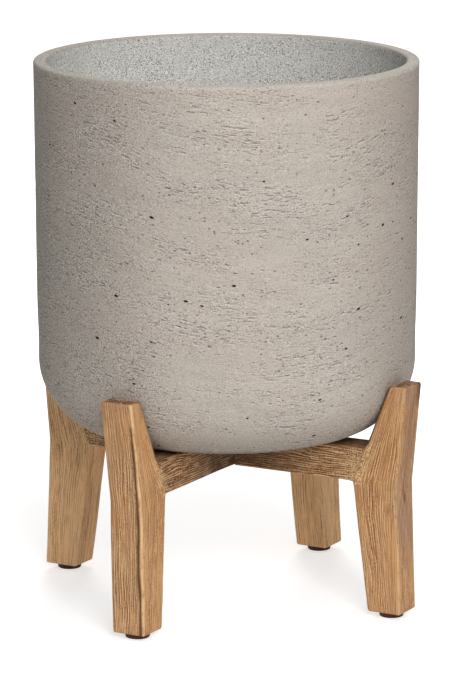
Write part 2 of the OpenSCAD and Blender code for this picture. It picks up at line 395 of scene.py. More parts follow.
cement = dict(
    # patterns: how many go to a metre along x, y and z, then detail, roughness and warp
    cloud=((6, 6, 6), 3.0, 0.55), wash=((8, 8, 30), 4.0, 0.6, 0.4),
    strokes=((12, 12, 150), 3.0, 0.6, 0.3), drift=((13, 13, 36), 3.0, 0.6),
    sand=((820, 820, 1150), 1.0, 0.6), grit=((300, 300, 520), 2.0, 0.7),
    cuts=((130, 130, 740), 2.0, 0.6, 0.6), cracks=((38, 38, 480), 1.5, 0.5, 0.8),
    # holes: how many cells to a metre, then rarity, size and softness
    pits=((70, 70, 135), 0.84, 0.20, 0.06), pinholes=((230, 230, 380), 0.80, 0.38, 0.12),
    dashes=((120, 120, 430), 0.82, 0.32, 0.12),
    # ramps: two values of a pattern, and the shares of a tone or mark at both where they aren't 0 and 1
    cloudRamp=(0.35, 0.65), washRamp=(0.35, 0.7, 0.0, 0.7), strokeRamp=(0.35, 0.75, 0.0, 0.3),
    rimRamp=(0.4, 0.7), driftRamp=(0.40, 0.62), cutRamp=(0.592, 0.658), crackRamp=(0.66, 0.74),
    gritRamp=(0.59, 0.70), markRamp=(0.0, 1.0, 0.0, 0.85), insideZone=(0.55, 0.9), rimZone=(0.1, 0.45),
    # painted shade that grows to the left, to the right and downwards, and a painted shadow along the base,
    # between two places in metres
    toLeft=(0.0, -0.97, 0.26), paintedLeftShade=(0.05, 0.14, 0.0, 0.25), paintedRightShade=(-0.10, -0.18, 0.0, 0.27),
    paintedLowShade=(0.222, 0.180, 0.0, 0.35), paintedBaseShadow=(0.1805, 0.1755, 0.0, 0.5),
    # where the painted grazing-light shade grows, outside and inside
    grazeShadeOutside=(0.02, 0.16), grazeShadeInside=(-0.05, -0.13),
    sweep=1.15, sweepMiddle=10 * mm, lipDrop=1.2 * mm,
    # shares everywhere, then what is added inside, on the side with painted grazing-light shade, in drifts or
    # on the rim, as named
    sandInsideGrazeShade=(0.6, 0.55, 0.45), sandDrift=(0.75, 0.5), paleInside=(0.5, 0.5),
    gritInsideGrazeShade=(0.05, 0.45, 0.15), cutDriftGrazeShade=(0.22, 0.78, 0.3), lipDrift=(0.2, 0.8),
    markRim=(1.0, -0.8),
    # nothing, then the shares of cuts, cracks, dashes and pinholes, and of the first three's lips
    markShares=(0.0, 0.68, 0.5, 0.7, 0.8), lipShares=(0.0, 0.4, 0.45, 0.5),
    outer=(shade(196, 188, 177), shade(203, 190, 180)), washed=shade(207, 198, 187),
    # the left, right, low and base tones are colours of painted shade, the base one a painted shadow line
    stroked=shade(184, 171, 158), paintedLeftShadeTone=shade(142, 135, 124), paintedRightShadeTone=shade(148, 134, 120),
    paintedLowShadeTone=shade(128, 114, 102), paintedBaseShadowTone=shade(74, 60, 48),
    inner=(shade(217, 217, 214), shade(224, 223, 218)), rimTones=(shade(203, 195, 185), shade(212, 203, 193)),
    # the lips' pale is a painted highlight, and the dark of marks and pits is painted shade in them
    sandTones=(shade(122, 113, 102), shade(255, 251, 246)), paintedLipHighlight=shade(240, 234, 226),
    paintedMarkShade=shade(84, 76, 68), paintedPitShade=shade(40, 34, 30),
    # nothing, then how high grit, sand and strokes stand, and how deep marks and pits go
    heights=(0.0, 1.2 * mm, 0.5 * mm, 0.5 * mm, -0.6 * mm, -1.2 * mm),
    roughness=(0.86, 0.1), relief=0.9, gloss=0.15,
)


def cementMaterial():
    # tones in soft clouds and strokes with painted shade at the sides and low down, sand over them, then
    # marks in painted shade with pale lips as painted highlights, and pits in painted shade last
    made, tree = newMaterial("castCement")
    place = ownPlace(tree)
    zone = readField(tree, "zone")
    inside = zone.ramp(*cement["insideZone"])
    outside = 1 - inside
    rim = zone.ramp(*cement["rimZone"]) * outside

    # the trowel's way: strokes sag in the middle of the front and climb to both sides, as a parabola
    x, y, z = splitUp(place)
    fromMiddle = x - cement["sweepMiddle"]
    swept = joinUp(x, y, z - cement["sweep"] * fromMiddle * fromMiddle)
    # painted shade of light at a graze: the left side of the pot outside, and the right side inside, get more
    # and darker speckle and marks, standing in for the shading of relief
    aside = summed(cement["toLeft"], x, y)
    paintedGrazeShade = aside.ramp(*cement["grazeShadeOutside"]) * outside + aside.ramp(*cement["grazeShadeInside"]) * inside
    cloud = noise(place, *cement["cloud"])
    wash, strokes, sand, grit, drift = [noise(swept, *cement[name])
                                        for name in ("wash", "strokes", "sand", "grit", "drift")]
    drift = drift.ramp(*cement["driftRamp"])

    # dark cuts and longer cracks lie along the strokes, come in drifts and have a pale lower lip,
    # which is the same pattern read a little higher; their dark is painted shade and the lip a painted
    # highlight
    ways = (swept, swept.shifted((0.0, 0.0, cement["lipDrop"])))
    cuts, cutLips = [noise(way, *cement["cuts"]).ramp(*cement["cutRamp"]) for way in ways]
    cracks, crackLips = [noise(way, *cement["cracks"]).ramp(*cement["crackRamp"]) * drift for way in ways]
    dashes, dashLips = [holes(way, *cement["dashes"]) for way in ways]
    pits, pinholes = [holes(swept, *cement[name]) for name in ("pits", "pinholes")]
    cuts = cuts * summed(cement["cutDriftGrazeShade"], drift, paintedGrazeShade)
    cutLips = cutLips * summed(cement["lipDrift"], drift)

    # painted shade: darker to the left and right sides and low on the rounded base, with a painted shadow
    # line along the base; the rim takes the left one too
    paintedLeftShade = aside.ramp(*cement["paintedLeftShade"])
    outer = blend(cloud.ramp(*cement["cloudRamp"]), *cement["outer"])
    outer = blend(wash.ramp(*cement["washRamp"]), outer, cement["washed"])
    outer = blend(strokes.ramp(*cement["strokeRamp"]), outer, cement["stroked"])
    outer = blend(paintedLeftShade, outer, cement["paintedLeftShadeTone"])
    outer = blend(aside.ramp(*cement["paintedRightShade"]), outer, cement["paintedRightShadeTone"])
    outer = blend(z.ramp(*cement["paintedLowShade"]), outer, cement["paintedLowShadeTone"])
    outer = blend(z.ramp(*cement["paintedBaseShadow"]), outer, cement["paintedBaseShadowTone"])
    inner = blend(cloud.ramp(*cement["cloudRamp"]), *cement["inner"])
    edge = blend(wash.ramp(*cement["rimRamp"]), *cement["rimTones"])
    edge = blend(paintedLeftShade, edge, cement["paintedLeftShadeTone"])
    tone = blend(rim, blend(inside, outer, inner), edge)

    sandShare = summed(cement["sandInsideGrazeShade"], inside, paintedGrazeShade) * summed(cement["sandDrift"], drift)
    tone = speckle(tone, sand, sandShare, cement["sandTones"], summed(cement["paleInside"], inside))
    # painted highlight on the marks' lower lips, then painted shade in the marks and in the pits
    lips = summed(cement["lipShares"], cutLips, crackLips, dashLips)
    tone = blend(lips * outside * (1 - rim), tone, cement["paintedLipHighlight"])
    marks = summed(cement["markShares"], cuts, cracks, dashes, pinholes)
    marks = marks * outside * summed(cement["markRim"], rim)
    marks = marks + grit.ramp(*cement["gritRamp"]) * summed(cement["gritInsideGrazeShade"], inside, paintedGrazeShade)
    tone = blend(marks.ramp(*cement["markRamp"], smooth=False), tone, cement["paintedMarkShade"])
    tone = blend(pits * outside * (1 - rim), tone, cement["paintedPitShade"])
    height = summed(cement["heights"], grit - 0.5, sand - 0.5, strokes - 0.5, marks, pits * outside)
    roughness = summed(cement["roughness"], grit)
    finishMaterial(tree, tone, roughness, height, cement["relief"], Specular_IOR_Level=cement["gloss"])
    return made


wood = dict(
    groove=0.28 * mm, wave=0.45 * mm, wear=0.6 * mm,  # how deep each of them goes
    fineWidth=1.7 * mm, fineLong=60 * mm, broadWidth=4.6 * mm, broadLong=110 * mm,
    fineFrom=(0.0, 0.85), fineShare=0.75, broadFrom=(0.1, 0.9), broadShare=0.25,
    # relief patterns: how many go round the piece, and the length of one along it
    bends=(9, 35 * mm), waves=(6, 45 * mm), nicks=(12, 11 * mm), worn=(4, 30 * mm),
    bend=0.35, broadBend=0.6, wornShare=0.55, wornSway=0.3, nickFrom=(0.1, 0.9), nickShare=0.5,
    splitFrom=4 * mm, splitSway=1.6 * mm, splitWidth=1.9 * mm, crumbWidth=3.4 * mm,
    swayLong=22 * mm, fadeLong=30 * mm, fadeFrom=(-0.8, 0.0), widthLong=12 * mm, widthSway=0.6,
)


def sectionColumns(sideX, sideY, cornerCount):
    # one trip round a rounded rectangle: (ax, ay) picks the corner circle's centre,
    # and (cx, cy) is the way out of it
    ax, ay, cx, cy = [], [], [], []
    signs = ((1, -1), (1, 1), (-1, 1), (-1, -1))
    for k, (sx, sy) in enumerate(signs):
        turn = np.radians(-90 + 90 * k + 90 * np.arange(cornerCount) / (cornerCount - 1))
        ax.append(np.full(cornerCount, sx, float))
        ay.append(np.full(cornerCount, sy, float))
        cx.append(np.cos(turn))
        cy.append(np.sin(turn))
        count = sideY if k % 2 == 0 else sideX
        t = np.arange(1, count) / count
        nx, ny = signs[(k + 1) % 4]
        ax.append(sx + (nx - sx) * t)
        ay.append(sy + (ny - sy) * t)
        cx.append(np.full(count - 1, np.cos(turn[-1])))
        cy.append(np.full(count - 1, np.sin(turn[-1])))
    return [np.concatenate(part) for part in (ax, ay, cx, cy)]


def pathShare(x, y):
    # how far each point lies along a closed line, from 0 to 1
    walk = np.hypot(x - np.roll(x, 1), y - np.roll(y, 1))
    return (np.cumsum(walk) - walk[0]) / walk.sum()


def arrisShare(cx, cy):
    # 0 on the flats, where the way out is along an axis, and 1 in the middle of a rounded corner
    return step(np.minimum(np.abs(cx), np.abs(cy)), 0.0, 0.5)


def splitLine(fromArris, along, seed):
    # two shares: 1 along a wandering line close to an arris, fading in and out and changing in width;
    # and the same for the wider strip of crumbled wood round it
    across = 0 * along + 0.5
    sway = bumps(across, along / wood["swayLong"], seed)
    fade = step(bumps(across, along / wood["fadeLong"], seed + 1), *wood["fadeFrom"])
    width = wood["splitWidth"] * (1 + wood["widthSway"] * bumps(across, along / wood["widthLong"], seed + 2))
    off = fromArris - wood["splitFrom"] - wood["splitSway"] * sway
    return fade * near(off, width), fade * near(off, wood["crumbWidth"])


def woodRelief(around, along, perimeter, edge, seed):
    # how deep the brushed surface lies under the sawn one: waves, grooves along the grain and worn arrises
    bend = wood["bend"] * ripples(around, along, wood["bends"], seed)
    fineGrid = (int(perimeter / wood["fineWidth"]), wood["fineLong"])
    broadGrid = (int(perimeter / wood["broadWidth"]), wood["broadLong"])
    fine = step(ripples(around, along, fineGrid, seed + 1, bend, bend), *wood["fineFrom"])
    broad = step(ripples(around, along, broadGrid, seed + 2, bend * wood["broadBend"]), *wood["broadFrom"])
    groove = fine * wood["fineShare"] + broad * wood["broadShare"]
    wave = 0.5 + 0.5 * ripples(around, along, wood["waves"], seed + 3)
    nicks = step(ripples(around, along, wood["nicks"], seed + 4), *wood["nickFrom"])
    worn = wood["wornShare"] + wood["wornSway"] * ripples(around, along, wood["worn"], seed + 5)
    worn = edge * (worn + wood["nickShare"] * nicks)
    return wood["groove"] * groove + wood["wave"] * wave + wood["wear"] * worn, groove


# a pair named ...Facing says how squarely a surface faces one way where a mark starts, and where it is full
leg = dict(
    topThick=19.5 * mm, waistThick=49.5 * mm, footThick=37 * mm, footSet=17.5 * mm,
    arris=3 * mm, endRound=2.5 * mm, endWear=0.35 * mm, endDents=(10, 3),
    sideX=62, sideY=50, cornerCount=9, rows=330, endRows=5, capRings=(0.15, 0.4, 0.65, 0.85),
    seatFacing=(0.3, 0.9), seatFade=6 * mm, footFade=2 * mm, seed=40,
    grainHalf=20 * mm, grainStep=(0.37, 0.61, 0.0),
    # the back legs' tone near 1 paints them much paler: painted light in their shade
    toneTop=(0.44, 0.40, 0.96, 0.95), toneFoot=(0.56, 0.50, 1.0, 1.0), toneFrom=60 * mm, toneTo=150 * mm,
    wash=(0.0, 0.35, 0.0, 0.3), weather=0.5, weatherFacing=(0.2, 0.9),
    # the pale arrises and the bands beside them are wear and a painted highlight
    edgeWearAndHighlight=(1.0, 0.6, 1.0, 0.8), wornHighlightBand=4.5 * mm, sideShare=0.7, sideFacing=(0.8, 1.0),
    topFacing=(0.3, 0.8), topBand=(-52 * mm, -30 * mm),
    front=(1, -1, 1, -1),  # which outer arris is cracked; the other one is charred at the top
    crack=(1.0, 0.0, 0.4, 0.3), crackFacing=(0.7, 0.95), crackBelow=(16 * mm, 28 * mm),
    char=(0.2, 1.0, 0.2, 0.3), charFacing=(0.0, 0.5), charWidth=11 * mm, charFrom=(-30 * mm, -10 * mm),
    # the dark lines beside the pot are painted shadow of the gap between leg and pot
    lineWidth=(4 * mm, 2.8 * mm, 2.8 * mm, 4 * mm), lineFade=6 * mm,  # the dark lines beside the pot
    glueReach=(-16 * mm, -2 * mm), glueFade=(5 * mm, 8 * mm), crumbShare=0.5,
    knotLeg=1, knotHeight=121 * mm, knotSide=-1 * mm, knotLong=5 * mm, knotWide=1.7 * mm,
)


def legRows():
    # each row's height, how far its section is drawn in, and the row's size as a share of that section:
    # flat rings on the foot, a quarter circle round its edge, the run of the leg, and the same at the top
    foot, top, over = stand["foot"], stand["legTop"], leg["endRound"]
    a = np.radians(np.linspace(0, 90, leg["endRows"]))
    bend, lift = over * (1 - np.sin(a)), over * (1 - np.cos(a))
    cap = np.array(leg["capRings"])
    run = np.linspace(foot + over, top - over, leg["rows"])[1:-1]
    height = np.concatenate([0 * cap + foot, foot + lift, run, (top - lift)[::-1], 0 * cap + top])
    inset = np.concatenate([0 * cap + over, bend, 0 * run, bend[::-1], 0 * cap + over])
    share = np.concatenate([cap, 0 * bend + 1, 0 * run + 1, 0 * bend + 1, cap[::-1]])
    return height, inset[:, None], share[:, None]


def legMarks(k, x, y, along, halfX, halfY, cx, cy):
    # shares of split, of glued or crumbled, and of scorched wood together with painted shadow beside the pot,
    # and of wear with a painted highlight in bands beside the arrises
    waist, barTop, top = stand["barBottom"], stand["barTop"], stand["legTop"]
    front = leg["front"][k]
    fromFront, fromOther = halfY - front * y, halfY + front * y
    outward = step(cx, *leg["crackFacing"])
    below = step(top - along, *leg["crackBelow"])
    crack, crumbled = [part * leg["crack"][k] * below * outward
                       for part in splitLine(fromFront, along, leg["seed"] + 20 + k)]
    knot = near(along - leg["knotHeight"], leg["knotLong"]) * near(y - leg["knotSide"], leg["knotWide"])
    split = np.maximum(crack, knot * (k == leg["knotLeg"]) * outward)
    glued = between(along, waist, barTop, *leg["glueFade"])
    glued = glued * step(-x - halfX, *leg["glueReach"])
    glued = np.maximum(glued, leg["crumbShare"] * crumbled * (1 - crack))
    # painted shadow: a dark line along the inner arris, above the bar, where the leg meets the pot
    paintedPotShadow = near(np.hypot(halfX + x, halfY - np.abs(y)), leg["lineWidth"][k])
    paintedPotShadow = paintedPotShadow * step(along - barTop, 0.0, leg["lineFade"])
    charred = leg["char"][k] * step(cx, *leg["charFacing"]) * near(fromOther, leg["charWidth"])
    charred = charred * step(along - top, *leg["charFrom"])
    # paler bands beside the arrises: wear, and a painted highlight
    sideBand = leg["sideShare"] * step(np.abs(cy), *leg["sideFacing"]) * near(halfX - x, leg["wornHighlightBand"])
    topBand = step(cx, *leg["topFacing"]) * near(fromFront, leg["wornHighlightBand"])
    topBand = topBand * step(along - top, *leg["topBand"])
    return split, glued, np.maximum(charred, paintedPotShadow), np.maximum(sideBand, topBand)


def buildLeg(k, material):
    # rounded rectangles stacked from foot to top: the section's inner and outer edge follow two bent lines,
    # both ends are rounded over by a quarter circle and closed with a flat cap
    foot, waist, top = stand["foot"], stand["barBottom"], stand["legTop"]
    levels = [foot, waist, top]
    inner = [faceRadius(waist) + leg["footSet"], faceRadius(waist), faceRadius(top)]
    outer = [inner[0] + leg["footThick"], inner[1] + leg["waistThick"], inner[2] + leg["topThick"]]
    height, inset, share = legRows()
    inX, outX = np.interp(height, levels, inner)[:, None], np.interp(height, levels, outer)[:, None]
    halfX, halfY, corner = (outX - inX) / 2 - inset, stand["woodWidth"] / 2 - inset, leg["arris"] - inset
    ax, ay, cx, cy = sectionColumns(leg["sideX"], leg["sideY"], leg["cornerCount"])
    x, y = ax * (halfX - corner) + cx * corner, ay * (halfY - corner) + cy * corner
    middleRow = len(x) // 2
    around, along = np.meshgrid(pathShare(x[middleRow], y[middleRow]), height)
    edge = np.broadcast_to(arrisShare(cx, cy), around.shape)
    perimeter = 2 * (stand["woodWidth"] + leg["waistThick"])
    depth, groove = woodRelief(around, along, perimeter, edge, leg["seed"] + 10 * k)
    # flat on the glide and against the bar
    fade = leg["seatFade"]
    seated = step(-cx, *leg["seatFacing"]) * between(along, waist, stand["barTop"], fade, fade)
    depth = depth * step(along, foot, foot + leg["footFade"]) * (1 - seated)
    split, glued, scorchedAndShaded, bands = legMarks(k, x, y, along, halfX, halfY, cx, cy)
    rise = step(along, leg["toneFrom"], leg["toneTo"])
    sawn = np.stack([x / halfX * leg["grainHalf"], y, along], -1)
    fields = dict(
        grain=sawn + np.array(leg["grainStep"]) * (k + 1), groove=groove,
        edge=np.maximum(edge, bands) * leg["edgeWearAndHighlight"][k],
        tone=leg["toneFoot"][k] * (1 - rise) + leg["toneTop"][k] * rise,
        wash=leg["wash"][k] + leg["weather"] * step(cx, *leg["weatherFacing"]) + 0 * x,
        ends=(share < 1) + 0 * x, split=split * (share == 1), glue=glued + 0 * x,
        scorchAndShadow=scorchedAndShaded * (share == 1), rough=0 * x)
    x, y = (x - cx * depth) * share, (y - cy * depth) * share
    count, rings = leg["endDents"]
    dents = 0.5 + 0.5 * bumps(around * count, rings * share + 0 * around, leg["seed"] + 50 + k, count)
    z = along - np.isclose(along, top) * leg["endWear"] * dents
    points = np.stack([x + (inX + outX) / 2, y + leanShift(k, along), z], -1)
    points = turned(points, stand["firstTurn"] + 90 * k)
    gridObject("leg_wood_" + places[k], points, "leg_" + places[k], material, fields)


bar = dict(
    arris=2 * mm, play=0.1 * mm, glue=0.05 * mm, sideX=44, sideY=44, cornerCount=7,
    outerRows=150, notchRows=24, relief=1.5, seed=200, grainStep=(0.41, 0.23, 0.0),
    seatDeep=(0.2 * mm, 1.6 * mm), seatReach=(115 * mm, 125 * mm), endFade=4 * mm,
    glueReach=(9 * mm, 26 * mm), glueFull=0.2, underTop=(0.3, 0.7),
    # tone and shaded darken the bars all along, and middleShade, topShade and backShade more towards the
    # middle and on the top: painted shadow of the pot
    tone=(0.0, 0.10), toneReach=(-20 * mm, 130 * mm), shaded=(0.30, 0.20), middleShade=0.4,
    middleReach=(-105 * mm, -45 * mm), topFacing=(0.2, 0.6), topShade=0.45, backShade=0.3,
    backFrom=(-4 * mm, 6 * mm), front=(1, -1), wearHighlightFacing=(-0.1, 0.1),
)


def buildBar(k, material):
    # rounded rectangles along the bar, whose top (k = 0) or bottom (k = 1) steps to half height in the lap;
    # each end row leans so that the bar's end lies on the leg's inner face
    low, high, width, r = stand["barBottom"], stand["barTop"], stand["woodWidth"], bar["arris"]
    half, notch = (low + high) / 2, width / 2 + bar["play"]
    out, middle = np.linspace(0, 1, bar["outerRows"]), np.linspace(-notch, notch, bar["notchRows"])
    side = np.repeat([-1, 0, 1], [len(out), len(middle), len(out)])[:, None]
    lapped = side == 0
    # metres from the middle in the lap, and a share of the way from the lap to the leg outside it
    walk = np.concatenate([out[::-1], middle, out])[:, None]
    bottom = np.where(lapped & (k == 1), half + bar["play"], low)
    upper = np.where(lapped & (k == 0), half, high)
    ax, ay, cx, cy = sectionColumns(bar["sideX"], bar["sideY"], bar["cornerCount"])
    y = ax * (width / 2 - r) + cx * r + 0 * walk
    z = ay * ((upper - bottom) / 2 - r) + cy * r + (bottom + upper) / 2
    reach = faceRadius(z) - bar["glue"]
    x = np.where(lapped, walk, side * (notch + walk * (reach - notch)))
    off = np.abs(x)
    around = pathShare(y[0], z[0]) + 0 * walk
    edge = arrisShare(cx, cy) + 0 * walk
    depth, groove = woodRelief(around, x, 4 * width, edge, bar["seed"] + 10 * k)
    # flat under the pot, and tight at the legs
    free = np.maximum(step(high - z, *bar["seatDeep"]), step(off, *bar["seatReach"]))
    depth = bar["relief"] * depth * free * step(reach - off, 0.0, bar["endFade"])
    glueReach = bar["glueReach"][k]
    glued = step(off, reach - glueReach, reach - glueReach * bar["glueFull"])
    # painted shadow of the pot on the top, darker at the back than along its front arris
    back = step(-bar["front"][k] * y, *bar["backFrom"])
    topPaintedShadow = step(cy, *bar["topFacing"]) * (bar["topShade"] + bar["backShade"] * back)
    # painted shadow of the pot, darker towards the middle
    middlePaintedShadow = bar["middleShade"] * step(-off, *bar["middleReach"])
    y, z = y - cx * depth, z - cy * depth
    grain = np.stack([z - low, y, x], -1) + np.array(bar["grainStep"]) * (k + 7)
    fields = dict(
        # pale lower arrises: wear, and a painted highlight
        grain=grain, groove=groove, edge=edge * step(-cy, *bar["wearHighlightFacing"]),
        tone=bar["tone"][k] * step(off, *bar["toneReach"]), wash=0 * x, ends=0 * x, split=0 * x,
        glue=glued * (1 - step(cy, *bar["underTop"])),
        scorchAndShadow=np.maximum(bar["shaded"][k] + middlePaintedShadow, topPaintedShadow), rough=0 * x + 1)
    level = ("lower", "upper")[k]
    points = turned(np.stack([x, y, z], -1), stand["firstTurn"] + 90 * k)
    gridObject("bar_wood_" + level, points, "bar_" + level, material, fields)


# the wood's figure, the same on legs, bars and dowels
figure = dict(
    # patterns: how many go to a metre across, through and along the grain, then detail, roughness and warp
    sway=((34, 34, 13), 2.0, 0.5), fibre=((860, 860, 50), 1.0, 0.5),
    flecks=((900, 900, 600), 1.0, 0.5), band=((150, 150, 6), 2.0, 0.5),
    broad=((30, 30, 12), 2.0, 0.5), ruddy=((70, 70, 9), 2.0, 0.55),
    streak=((120, 120, 13), 2.0, 0.5, 0.3), patchy=((30, 30, 60), 3.0, 0.6),
    crumbs=((760, 760, 620), 1.0, 0.6), endGrain=((180, 260, 20), 3.0, 0.65),
    swayShift=(3.0, 5.0, 0.0), swayBy=10 * mm, ruddyShift=(0.0, 0.2, 0.1),
    # two sets of fine even lines: nothing, then radians per metre across and through, and per sway and band
    lines=((0.0, 2500, 2650, 34, 7), (0.0, 3000, 2250, 30, -6)), lineShare=0.11,
    # ramps: two values of a pattern, and the shares of a tone at both where they aren't 0 and 1
    bandRamp=(0.25, 0.75), deepRamp=(0.5, 0.7, 0.0, 0.3), depthRamp=(0.30, 0.62, 0.24, 0.74),
    greyRamp=(0.62, 0.40), paleLightRamp=(0.5, 1.0, 0.0, 0.9), darkRamp=(0.5, 0.0, 0.0, 0.8),
    ruddyRamp=(0.48, 0.68), streakRamp=(0.56, 0.70), grooveRamp=(0.2, 1.0, 0.0, 0.3), wornHighlightRamp=(0.3, 1.0),
    patchRamp=(0.36, 0.56, 0.0, 0.7), crumbRamp=(0.46, 0.60, 0.0, 0.85), gapRamp=(0.42, 0.32, 0.0, 0.6),
    scorchShadowRamp=(0.30, 0.55, 0.7, 1.0), endRamp=(0.42, 0.60), roughRamp=(0.2, 0.8, 0.62, 0.82),
    stain=0.45, paleLightStain=0.22, roughDepth=1.1, roughLess=0.5, fibreShare=0.5, fleckShare=0.4,
    splitShare=0.9, lineHigh=0.4 * mm, fibreHigh=0.4 * mm, splitDeep=0.6 * mm, relief=0.8, gloss=0.25,
    # the pale tone mostly paints the back legs paler as painted light, and the darkened one mostly the bars
    # as painted shadow of the pot
    paleAndPaintedLight=shade(255, 206, 151), darkened=shade(118, 72, 38), ruddyTone=shade(178, 110, 60),
    streakTone=shade(148, 90, 50), lineTones=(shade(100, 54, 25), shade(255, 214, 162)),
    wornHighlightTone=shade(244, 206, 156), splitTone=shade(84, 50, 28), crumbTone=shade(246, 212, 160),
    # the scorched tone also gives the painted shadow beside the pot and on the bars
    scorchShadowTone=shade(58, 34, 20), endTones=(shade(60, 42, 30), shade(188, 146, 108)),
)
hardwood = dict(light=shade(224, 172, 117), middle=shade(204, 147, 95), deep=shade(124, 77, 41),
                grey=shade(168, 132, 108))
beech = dict(light=shade(214, 184, 142), middle=shade(198, 164, 120), deep=shade(158, 120, 82))


def wornWood(tree, grain, colour, deep):
    # brushed grooves with painted shade, rubbed arrises with a painted highlight, splits, crumbled or glued
    # wood, scorching together with painted shadow, and end grain, one over the other, each by the field that
    # its builder stored
    groove, edge, split, ends, scorchAndShadow, glue = [readField(tree, name)
                                             for name in ("groove", "edge", "split", "ends", "scorchAndShadow", "glue")]
    patchy, crumbs, endGrain = [noise(grain, *figure[name]) for name in ("patchy", "crumbs", "endGrain")]
    # painted shade: darker down in the brushed grooves
    colour = blend(groove.ramp(*figure["grooveRamp"]), colour, deep)
    # paler on the arrises: wear, and a painted highlight
    worn = edge.ramp(*figure["wornHighlightRamp"]) * patchy.ramp(*figure["patchRamp"])
    colour = blend(worn, colour, figure["wornHighlightTone"])
    colour = blend(split * figure["splitShare"], colour, figure["splitTone"])
    colour = blend(glue * crumbs.ramp(*figure["crumbRamp"]), colour, figure["crumbTone"])
    colour = blend(glue * crumbs.ramp(*figure["gapRamp"]), colour, deep)
    # scorched wood, and painted shadow beside the pot on the legs and under it on the bars
    colour = blend(scorchAndShadow * patchy.ramp(*figure["scorchShadowRamp"]), colour, figure["scorchShadowTone"])
    endTone = blend(endGrain.ramp(*figure["endRamp"]), *figure["endTones"])
    return blend(ends, colour, endTone), split * figure["splitDeep"]


def woodMaterial(name, tones, brushed):
    # broad bands of tone, ruddy patches and streaks, then fine lines, fibres and flecks. On brushed wood
    # the grain field holds the piece's own sawn coordinates: x and y across the grain and z along it
    made, tree = newMaterial(name)
    grain = readField(tree, "grain", "Vector") if brushed else ownPlace(tree)
    swayX = noise(grain, *figure["sway"])
    swayY = noise(grain.shifted(figure["swayShift"]), *figure["sway"])
    across, through, along = splitUp(grain)
    by = figure["swayBy"]
    flow = joinUp(across + (swayX - 0.5) * by, through + (swayY - 0.5) * by, along)
    fibre, flecks, band, streak = [noise(flow, *figure[key]) for key in ("fibre", "flecks", "band", "streak")]
    broad = noise(grain, *figure["broad"])
    ruddy = noise(flow.shifted(figure["ruddyShift"]), *figure["ruddy"])
    lines = 0.5
    for shares, sway in zip(figure["lines"], (swayX, swayY)):
        lines = lines + summed(shares, across, through, sway, band).wave() * figure["lineShare"]

    colour = blend(band.ramp(*figure["bandRamp"]), tones["middle"], tones["light"])
    colour = blend(broad.ramp(*figure["deepRamp"]), colour, tones["deep"])
    depth, stain = ruddy.ramp(*figure["depthRamp"]), figure["stain"]
    if brushed:
        wash, tone, rough = [readField(tree, key) for key in ("wash", "tone", "rough")]
        # over 0.5 tone turns paler, on the back legs as painted light; under 0.5 darker, on the bars as
        # painted shadow of the pot
        paleAndPaintedLight = tone.ramp(*figure["paleLightRamp"], smooth=False)
        darkened = tone.ramp(*figure["darkRamp"], smooth=False)
        colour = blend(wash * broad.ramp(*figure["greyRamp"]), colour, tones["grey"])
        colour = blend(paleAndPaintedLight, colour, figure["paleAndPaintedLight"])
        colour = blend(darkened, colour, figure["darkened"])
        depth = depth * (1 - figure["roughLess"] * rough) + figure["roughDepth"] * rough
        stain = stain - figure["paleLightStain"] * paleAndPaintedLight
    colour = blend(ruddy.ramp(*figure["ruddyRamp"]) * stain, colour, figure["ruddyTone"])
    colour = blend(streak.ramp(*figure["streakRamp"]) * stain, colour, figure["streakTone"])
    colour = speckle(colour, lines, depth, figure["lineTones"])
    colour = speckle(colour, fibre, depth * figure["fibreShare"], figure["lineTones"])
    colour = speckle(colour, flecks, depth * figure["fleckShare"], figure["lineTones"])
    height = (0.5 - lines) * figure["lineHigh"] + (0.5 - fibre) * figure["fibreHigh"]
    if brushed:
        colour, sunk = wornWood(tree, grain, colour, tones["deep"])
        height = height - sunk
    roughness = fibre.ramp(*figure["roughRamp"])
    finishMaterial(tree, colour, roughness, height, figure["relief"], Specular_IOR_Level=figure["gloss"])
    return made


glide = dict(
    radius=12 * mm, bevel=1.6 * mm, topRound=0.3 * mm, hub=2 * mm, rows=(8, 9, 4, 3, 6), columns=72,
    mottle=((90, 90, 90), 2.0, 0.5), scuffs=((420, 420, 420), 4.0, 0.6),
    mottleRamp=(0.35, 0.7), scuffRamp=(0.6, 0.8, 0.0, 0.3), roughRamp=(0.35, 0.75, 0.22, 0.5),
    tones=(shade(74, 38, 26), shade(98, 52, 36)), scuffTone=shade(130, 88, 66),
    scuffHigh=0.1 * mm, relief=0.6,
)


def buildGlide(k, material):
    # a profile turned about the foot's upright axis: flat underneath, a quarter circle up to the side,
    # a small one over to the top, and a flat top
    r, h, b, e, hub = glide["radius"], stand["foot"], glide["bevel"], glide["topRound"], glide["hub"]
    rows = glide["rows"]
    profile = np.concatenate([
        line((hub, 0.0), (r - b, 0.0), rows[0]),
        arc((r - b, b), b, 270, 360, rows[1]),
        line((r, b), (r, h - e), rows[2]),
        arc((r - e, h - e), e, 0, 90, rows[3]),
        line((r - e, h), (hub, h), rows[4]),
        np.array([[hub, h]]),
    ])
    turn = np.arange(glide["columns"]) / glide["columns"] * 2 * math.pi
    ring = np.stack([profile[:, :1] * np.cos(turn), profile[:, :1] * np.sin(turn),
                     np.broadcast_to(profile[:, 1:], (len(profile), len(turn)))], -1)
    lowest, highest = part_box("glide_" + places[k])
    middle = np.array([(lowest[0] + highest[0]) / 2, (lowest[1] + highest[1]) / 2, 0.0])
    gridObject("glide_cap_" + places[k], ring + middle, "glide_" + places[k], material, {})


